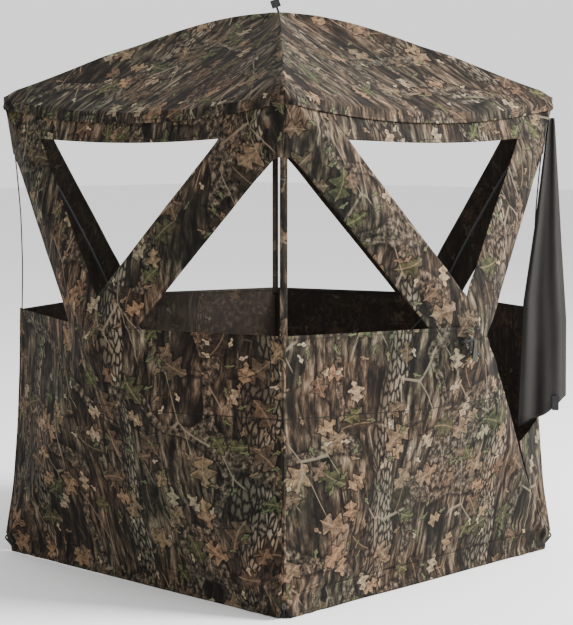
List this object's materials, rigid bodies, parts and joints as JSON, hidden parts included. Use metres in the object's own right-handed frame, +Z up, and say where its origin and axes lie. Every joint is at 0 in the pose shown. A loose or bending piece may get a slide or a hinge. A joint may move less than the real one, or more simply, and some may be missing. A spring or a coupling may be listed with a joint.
{
  "type": "pop up ground blind",
  "caption": "Square fabric ground blind with a pitched roof, walls popped out over hubs, corner and triangular windows, and an unzipped door flap.",
  "frame": {"origin": "on the ground at the middle of the floor", "axes": "+Z up, front wall towards -Y, door wall towards +X with the door at its +Y side"},
  "size_m": [1.897, 1.892, 2.1107],
  "materials": {
    "camo_cloth": "woven polyester printed with a woodland pattern of leaves, twigs and bark",
    "camo_webbing": "printed webbing",
    "coated_cloth": "dark matt coating on the inner side of the cloth",
    "black_webbing": "ribbed black webbing",
    "fibreglass": "pultruded fibreglass rod with a metal end",
    "hub_plastic": "moulded nylon",
    "cap_plastic": "moulded nylon",
    "foot_rubber": "moulded rubber",
    "steel_pin": "turned steel"
  },
  "bodies": {
    "base": {"ground_skirt": "camo_cloth", "corner_seams": "camo_cloth", "corner_straps": "camo_webbing", "top_corner_caps": "cap_plastic", "corner_feet": "foot_rubber", "stake_tabs": "black_webbing"},
    "roof_hub": {"roof_hub": "hub_plastic", "roof_hub_pins": "steel_pin"},
    "roof_pole_front_right": {"roof_pole_front_right": "fibreglass"},
    "roof_pole_back_right": {"roof_pole_back_right": "fibreglass"},
    "roof_pole_back_left": {"roof_pole_back_left": "fibreglass"},
    "roof_pole_front_left": {"roof_pole_front_left": "fibreglass"},
    "roof_panel_front": {"roof_panel_front": "camo_cloth"},
    "roof_panel_right": {"roof_panel_right": "camo_cloth"},
    "roof_panel_back": {"roof_panel_back": "camo_cloth"},
    "roof_panel_left": {"roof_panel_left": "camo_cloth"},
    "roof_pull_tab": {"roof_pull_tab": "black_webbing"},
    "wall_hub_front": {"wall_hub_front": "hub_plastic", "wall_hub_pins_front": "steel_pin"},
    "wall_pole_front_upper_right": {"wall_pole_front_upper_right": "fibreglass"},
    "wall_pole_front_upper_left": {"wall_pole_front_upper_left": "fibreglass"},
    "wall_pole_front_lower_left": {"wall_pole_front_lower_left": "fibreglass"},
    "wall_pole_front_lower_right": {"wall_pole_front_lower_right": "fibreglass"},
    "lower_panel_front": {"lower_panel_front": "camo_cloth"},
    "upper_panel_front": {"upper_panel_front": "camo_cloth"},
    "side_panel_front_left": {"side_panel_front_left": "camo_cloth"},
    "side_panel_front_right": {"side_panel_front_right": "camo_cloth"},
    "wall_hub_right": {"wall_hub_right": "hub_plastic", "wall_hub_pins_right": "steel_pin"},
    "wall_pole_right_upper_right": {"wall_pole_right_upper_right": "fibreglass"},
    "wall_pole_right_upper_left": {"wall_pole_right_upper_left": "fibreglass"},
    "wall_pole_right_lower_left": {"wall_pole_right_lower_left": "fibreglass"},
    "wall_pole_right_lower_right": {"wall_pole_right_lower_right": "fibreglass"},
    "lower_panel_right": {"lower_panel_right": "camo_cloth"},
    "upper_panel_right": {"upper_panel_right": "camo_cloth"},
    "side_panel_right_left": {"side_panel_right_left": "camo_cloth"},
    "side_panel_right_right": {"side_panel_right_right": "camo_cloth"},
    "wall_hub_back": {"wall_hub_back": "hub_plastic", "wall_hub_pins_back": "steel_pin"},
    "wall_pole_back_upper_right": {"wall_pole_back_upper_right": "fibreglass"},
    "wall_pole_back_upper_left": {"wall_pole_back_upper_left": "fibreglass"},
    "wall_pole_back_lower_left": {"wall_pole_back_lower_left": "fibreglass"},
    "wall_pole_back_lower_right": {"wall_pole_back_lower_right": "fibreglass"},
    "lower_panel_back": {"lower_panel_back": "camo_cloth"},
    "upper_panel_back": {"upper_panel_back": "camo_cloth"},
    "side_panel_back_left": {"side_panel_back_left": "camo_cloth"},
    "side_panel_back_right": {"side_panel_back_right": "camo_cloth"},
    "wall_hub_left": {"wall_hub_left": "hub_plastic", "wall_hub_pins_left": "steel_pin"},
    "wall_pole_left_upper_right": {"wall_pole_left_upper_right": "fibreglass"},
    "wall_pole_left_upper_left": {"wall_pole_left_upper_left": "fibreglass"},
    "wall_pole_left_lower_left": {"wall_pole_left_lower_left": "fibreglass"},
    "wall_pole_left_lower_right": {"wall_pole_left_lower_right": "fibreglass"},
    "lower_panel_left": {"lower_panel_left": "camo_cloth"},
    "upper_panel_left": {"upper_panel_left": "camo_cloth"},
    "side_panel_left_left": {"side_panel_left_left": "camo_cloth"},
    "side_panel_left_right": {"side_panel_left_right": "camo_cloth"},
    "door_flap": {"door_flap": "coated_cloth", "door_toggle": "black_webbing"},
    "hub_pull_tab": {"hub_pull_tab": "black_webbing"}
  },
  "joints": [
    {"name": "roof_pop", "type": "slide", "parent": "base", "child": "roof_hub", "axis": [0, 0, 1], "range_m": [-0.6, 0]},
    {"name": "roof_pole_front_right_pivot", "type": "hinge", "parent": "roof_hub", "child": "roof_pole_front_right", "pos_m": [0.02121, -0.02121, 2.04], "axis": [0.7071, 0.7071, 0], "range_deg": [-33.11, 0]},
    {"name": "roof_pole_back_right_pivot", "type": "hinge", "parent": "roof_hub", "child": "roof_pole_back_right", "pos_m": [0.02121, 0.02121, 2.04], "axis": [-0.7071, 0.7071, 0], "range_deg": [-33.11, 0]},
    {"name": "roof_pole_back_left_pivot", "type": "hinge", "parent": "roof_hub", "child": "roof_pole_back_left", "pos_m": [-0.02121, 0.02121, 2.04], "axis": [-0.7071, -0.7071, 0], "range_deg": [-33.11, 0]},
    {"name": "roof_pole_front_left_pivot", "type": "hinge", "parent": "roof_hub", "child": "roof_pole_front_left", "pos_m": [-0.02121, -0.02121, 2.04], "axis": [0.7071, -0.7071, 0], "range_deg": [-33.11, 0]},
    {"name": "roof_panel_front_hinge", "type": "hinge", "parent": "base", "child": "roof_panel_front", "pos_m": [0, -0.735, 1.74], "axis": [1, 0, 0], "range_deg": [-44.42, 0]},
    {"name": "roof_panel_right_hinge", "type": "hinge", "parent": "base", "child": "roof_panel_right", "pos_m": [0.735, 0, 1.74], "axis": [0, 1, 0], "range_deg": [-44.42, 0]},
    {"name": "roof_panel_back_hinge", "type": "hinge", "parent": "base", "child": "roof_panel_back", "pos_m": [0, 0.735, 1.74], "axis": [-1, 0, 0], "range_deg": [-44.42, 0]},
    {"name": "roof_panel_left_hinge", "type": "hinge", "parent": "base", "child": "roof_panel_left", "pos_m": [-0.735, 0, 1.74], "axis": [0, -1, 0], "range_deg": [-44.42, 0]},
    {"name": "roof_pull_tab_tilt", "type": "hinge", "parent": "roof_hub", "child": "roof_pull_tab", "pos_m": [0, 0, 2.056], "axis": [-0.7071, 0.7071, 0], "range_deg": [-20, 80]},
    {"name": "front_wall_pop", "type": "slide", "parent": "base", "child": "wall_hub_front", "axis": [0, -1, 0], "range_m": [-0.4, 0]},
    {"name": "wall_pole_front_upper_right_pivot", "type": "hinge", "parent": "wall_hub_front", "child": "wall_pole_front_upper_right", "pos_m": [0.01958, -0.935, 0.90973], "axis": [-0.7576, 0, 0.6528], "range_deg": [-20.69, 0]},
    {"name": "wall_pole_front_upper_left_pivot", "type": "hinge", "parent": "wall_hub_front", "child": "wall_pole_front_upper_left", "pos_m": [-0.01958, -0.935, 0.90973], "axis": [-0.7576, 0, -0.6528], "range_deg": [-20.69, 0]},
    {"name": "wall_pole_front_lower_left_pivot", "type": "hinge", "parent": "wall_hub_front", "child": "wall_pole_front_lower_left", "pos_m": [-0.01953, -0.935, 0.86423], "axis": [0.7591, 0, -0.651], "range_deg": [-20.64, 0]},
    {"name": "wall_pole_front_lower_right_pivot", "type": "hinge", "parent": "wall_hub_front", "child": "wall_pole_front_lower_right", "pos_m": [0.01953, -0.935, 0.86423], "axis": [0.7591, 0, 0.651], "range_deg": [-20.64, 0]},
    {"name": "lower_panel_front_hinge", "type": "hinge", "parent": "base", "child": "lower_panel_front", "pos_m": [0, -0.735, 0.03], "axis": [1, 0, 0], "range_deg": [-26.28, 0]},
    {"name": "upper_panel_front_hinge", "type": "hinge", "parent": "base", "child": "upper_panel_front", "pos_m": [0, -0.735, 1.74], "axis": [1, 0, 0], "range_deg": [0, 26.4]},
    {"name": "side_panel_front_left_hinge", "type": "hinge", "parent": "base", "child": "side_panel_front_left", "pos_m": [-0.735, -0.735, 0.887], "axis": [0, 0, 1], "range_deg": [0, 30.45]},
    {"name": "side_panel_front_right_hinge", "type": "hinge", "parent": "base", "child": "side_panel_front_right", "pos_m": [0.735, -0.735, 0.887], "axis": [0, 0, 1], "range_deg": [-30.45, 0]},
    {"name": "right_wall_pop", "type": "slide", "parent": "base", "child": "wall_hub_right", "axis": [1, 0, 0], "range_m": [-0.4, 0]},
    {"name": "wall_pole_right_upper_right_pivot", "type": "hinge", "parent": "wall_hub_right", "child": "wall_pole_right_upper_right", "pos_m": [0.935, 0.01958, 0.90973], "axis": [0, -0.7576, 0.6528], "range_deg": [-20.69, 0]},
    {"name": "wall_pole_right_upper_left_pivot", "type": "hinge", "parent": "wall_hub_right", "child": "wall_pole_right_upper_left", "pos_m": [0.935, -0.01958, 0.90973], "axis": [0, -0.7576, -0.6528], "range_deg": [-20.69, 0]},
    {"name": "wall_pole_right_lower_left_pivot", "type": "hinge", "parent": "wall_hub_right", "child": "wall_pole_right_lower_left", "pos_m": [0.935, -0.01953, 0.86423], "axis": [0, 0.7591, -0.651], "range_deg": [-20.64, 0]},
    {"name": "wall_pole_right_lower_right_pivot", "type": "hinge", "parent": "wall_hub_right", "child": "wall_pole_right_lower_right", "pos_m": [0.935, 0.01953, 0.86423], "axis": [0, 0.7591, 0.651], "range_deg": [-20.64, 0]},
    {"name": "lower_panel_right_hinge", "type": "hinge", "parent": "base", "child": "lower_panel_right", "pos_m": [0.735, 0, 0.03], "axis": [0, 1, 0], "range_deg": [-26.28, 0]},
    {"name": "upper_panel_right_hinge", "type": "hinge", "parent": "base", "child": "upper_panel_right", "pos_m": [0.735, 0, 1.74], "axis": [0, 1, 0], "range_deg": [0, 26.4]},
    {"name": "side_panel_right_left_hinge", "type": "hinge", "parent": "base", "child": "side_panel_right_left", "pos_m": [0.735, -0.735, 0.887], "axis": [0, 0, 1], "range_deg": [0, 30.45]},
    {"name": "side_panel_right_right_hinge", "type": "hinge", "parent": "base", "child": "side_panel_right_right", "pos_m": [0.735, 0.735, 0.887], "axis": [0, 0, 1], "range_deg": [-30.45, 0]},
    {"name": "back_wall_pop", "type": "slide", "parent": "base", "child": "wall_hub_back", "axis": [0, 1, 0], "range_m": [-0.4, 0]},
    {"name": "wall_pole_back_upper_right_pivot", "type": "hinge", "parent": "wall_hub_back", "child": "wall_pole_back_upper_right", "pos_m": [-0.01958, 0.935, 0.90973], "axis": [0.7576, 0, 0.6528], "range_deg": [-20.69, 0]},
    {"name": "wall_pole_back_upper_left_pivot", "type": "hinge", "parent": "wall_hub_back", "child": "wall_pole_back_upper_left", "pos_m": [0.01958, 0.935, 0.90973], "axis": [0.7576, 0, -0.6528], "range_deg": [-20.69, 0]},
    {"name": "wall_pole_back_lower_left_pivot", "type": "hinge", "parent": "wall_hub_back", "child": "wall_pole_back_lower_left", "pos_m": [0.01953, 0.935, 0.86423], "axis": [-0.7591, 0, -0.651], "range_deg": [-20.64, 0]},
    {"name": "wall_pole_back_lower_right_pivot", "type": "hinge", "parent": "wall_hub_back", "child": "wall_pole_back_lower_right", "pos_m": [-0.01953, 0.935, 0.86423], "axis": [-0.7591, 0, 0.651], "range_deg": [-20.64, 0]},
    {"name": "lower_panel_back_hinge", "type": "hinge", "parent": "base", "child": "lower_panel_back", "pos_m": [0, 0.735, 0.03], "axis": [-1, 0, 0], "range_deg": [-26.28, 0]},
    {"name": "upper_panel_back_hinge", "type": "hinge", "parent": "base", "child": "upper_panel_back", "pos_m": [0, 0.735, 1.74], "axis": [-1, 0, 0], "range_deg": [0, 26.4]},
    {"name": "side_panel_back_left_hinge", "type": "hinge", "parent": "base", "child": "side_panel_back_left", "pos_m": [0.735, 0.735, 0.887], "axis": [0, 0, 1], "range_deg": [0, 30.45]},
    {"name": "side_panel_back_right_hinge", "type": "hinge", "parent": "base", "child": "side_panel_back_right", "pos_m": [-0.735, 0.735, 0.887], "axis": [0, 0, 1], "range_deg": [-30.45, 0]},
    {"name": "left_wall_pop", "type": "slide", "parent": "base", "child": "wall_hub_left", "axis": [-1, 0, 0], "range_m": [-0.4, 0]},
    {"name": "wall_pole_left_upper_right_pivot", "type": "hinge", "parent": "wall_hub_left", "child": "wall_pole_left_upper_right", "pos_m": [-0.935, -0.01958, 0.90973], "axis": [0, 0.7576, 0.6528], "range_deg": [-20.69, 0]},
    {"name": "wall_pole_left_upper_left_pivot", "type": "hinge", "parent": "wall_hub_left", "child": "wall_pole_left_upper_left", "pos_m": [-0.935, 0.01958, 0.90973], "axis": [0, 0.7576, -0.6528], "range_deg": [-20.69, 0]},
    {"name": "wall_pole_left_lower_left_pivot", "type": "hinge", "parent": "wall_hub_left", "child": "wall_pole_left_lower_left", "pos_m": [-0.935, 0.01953, 0.86423], "axis": [0, -0.7591, -0.651], "range_deg": [-20.64, 0]},
    {"name": "wall_pole_left_lower_right_pivot", "type": "hinge", "parent": "wall_hub_left", "child": "wall_pole_left_lower_right", "pos_m": [-0.935, -0.01953, 0.86423], "axis": [0, -0.7591, 0.651], "range_deg": [-20.64, 0]},
    {"name": "lower_panel_left_hinge", "type": "hinge", "parent": "base", "child": "lower_panel_left", "pos_m": [-0.735, 0, 0.03], "axis": [0, -1, 0], "range_deg": [-26.28, 0]},
    {"name": "upper_panel_left_hinge", "type": "hinge", "parent": "base", "child": "upper_panel_left", "pos_m": [-0.735, 0, 1.74], "axis": [0, -1, 0], "range_deg": [0, 26.4]},
    {"name": "side_panel_left_left_hinge", "type": "hinge", "parent": "base", "child": "side_panel_left_left", "pos_m": [-0.735, 0.735, 0.887], "axis": [0, 0, 1], "range_deg": [0, 30.45]},
    {"name": "side_panel_left_right_hinge", "type": "hinge", "parent": "base", "child": "side_panel_left_right", "pos_m": [-0.735, -0.735, 0.887], "axis": [0, 0, 1], "range_deg": [-30.45, 0]},
    {"name": "door_swing", "type": "hinge", "parent": "base", "child": "door_flap", "pos_m": [0.7559, 0.70074, 1.66], "axis": [0, 0, 1], "range_deg": [0, 60]},
    {"name": "hub_pull_tab_lift", "type": "hinge", "parent": "wall_hub_right", "child": "hub_pull_tab", "pos_m": [0.9495, 0, 0.887], "axis": [0, -1, 0], "range_deg": [0, 80]}
  ],
  "couplings": [
    {"joint": "roof_pole_front_right_pivot", "follows": "roof_pop", "rad_per_m": 0.96293},
    {"joint": "roof_pole_back_right_pivot", "follows": "roof_pop", "rad_per_m": 0.96293},
    {"joint": "roof_pole_back_left_pivot", "follows": "roof_pop", "rad_per_m": 0.96293},
    {"joint": "roof_pole_front_left_pivot", "follows": "roof_pop", "rad_per_m": 0.96293},
    {"joint": "roof_panel_front_hinge", "follows": "roof_pop", "rad_per_m": 1.2917},
    {"joint": "roof_panel_right_hinge", "follows": "roof_pop", "rad_per_m": 1.2917},
    {"joint": "roof_panel_back_hinge", "follows": "roof_pop", "rad_per_m": 1.2917},
    {"joint": "roof_panel_left_hinge", "follows": "roof_pop", "rad_per_m": 1.2917},
    {"joint": "wall_pole_front_upper_right_pivot", "follows": "front_wall_pop", "rad_per_m": 0.90249},
    {"joint": "wall_pole_front_upper_left_pivot", "follows": "front_wall_pop", "rad_per_m": 0.90249},
    {"joint": "wall_pole_front_lower_left_pivot", "follows": "front_wall_pop", "rad_per_m": 0.90006},
    {"joint": "wall_pole_front_lower_right_pivot", "follows": "front_wall_pop", "rad_per_m": 0.90006},
    {"joint": "lower_panel_front_hinge", "follows": "front_wall_pop", "rad_per_m": 1.1463},
    {"joint": "upper_panel_front_hinge", "follows": "front_wall_pop", "rad_per_m": -1.1515},
    {"joint": "side_panel_front_left_hinge", "follows": "front_wall_pop", "rad_per_m": -1.3284},
    {"joint": "side_panel_front_right_hinge", "follows": "front_wall_pop", "rad_per_m": 1.3284},
    {"joint": "wall_pole_right_upper_right_pivot", "follows": "right_wall_pop", "rad_per_m": 0.90249},
    {"joint": "wall_pole_right_upper_left_pivot", "follows": "right_wall_pop", "rad_per_m": 0.90249},
    {"joint": "wall_pole_right_lower_left_pivot", "follows": "right_wall_pop", "rad_per_m": 0.90006},
    {"joint": "wall_pole_right_lower_right_pivot", "follows": "right_wall_pop", "rad_per_m": 0.90006},
    {"joint": "lower_panel_right_hinge", "follows": "right_wall_pop", "rad_per_m": 1.1463},
    {"joint": "upper_panel_right_hinge", "follows": "right_wall_pop", "rad_per_m": -1.1515},
    {"joint": "side_panel_right_left_hinge", "follows": "right_wall_pop", "rad_per_m": -1.3284},
    {"joint": "side_panel_right_right_hinge", "follows": "right_wall_pop", "rad_per_m": 1.3284},
    {"joint": "wall_pole_back_upper_right_pivot", "follows": "back_wall_pop", "rad_per_m": 0.90249},
    {"joint": "wall_pole_back_upper_left_pivot", "follows": "back_wall_pop", "rad_per_m": 0.90249},
    {"joint": "wall_pole_back_lower_left_pivot", "follows": "back_wall_pop", "rad_per_m": 0.90006},
    {"joint": "wall_pole_back_lower_right_pivot", "follows": "back_wall_pop", "rad_per_m": 0.90006},
    {"joint": "lower_panel_back_hinge", "follows": "back_wall_pop", "rad_per_m": 1.1463},
    {"joint": "upper_panel_back_hinge", "follows": "back_wall_pop", "rad_per_m": -1.1515},
    {"joint": "side_panel_back_left_hinge", "follows": "back_wall_pop", "rad_per_m": -1.3284},
    {"joint": "side_panel_back_right_hinge", "follows": "back_wall_pop", "rad_per_m": 1.3284},
    {"joint": "wall_pole_left_upper_right_pivot", "follows": "left_wall_pop", "rad_per_m": 0.90249},
    {"joint": "wall_pole_left_upper_left_pivot", "follows": "left_wall_pop", "rad_per_m": 0.90249},
    {"joint": "wall_pole_left_lower_left_pivot", "follows": "left_wall_pop", "rad_per_m": 0.90006},
    {"joint": "wall_pole_left_lower_right_pivot", "follows": "left_wall_pop", "rad_per_m": 0.90006},
    {"joint": "lower_panel_left_hinge", "follows": "left_wall_pop", "rad_per_m": 1.1463},
    {"joint": "upper_panel_left_hinge", "follows": "left_wall_pop", "rad_per_m": -1.1515},
    {"joint": "side_panel_left_left_hinge", "follows": "left_wall_pop", "rad_per_m": -1.3284},
    {"joint": "side_panel_left_right_hinge", "follows": "left_wall_pop", "rad_per_m": 1.3284}
  ]
}
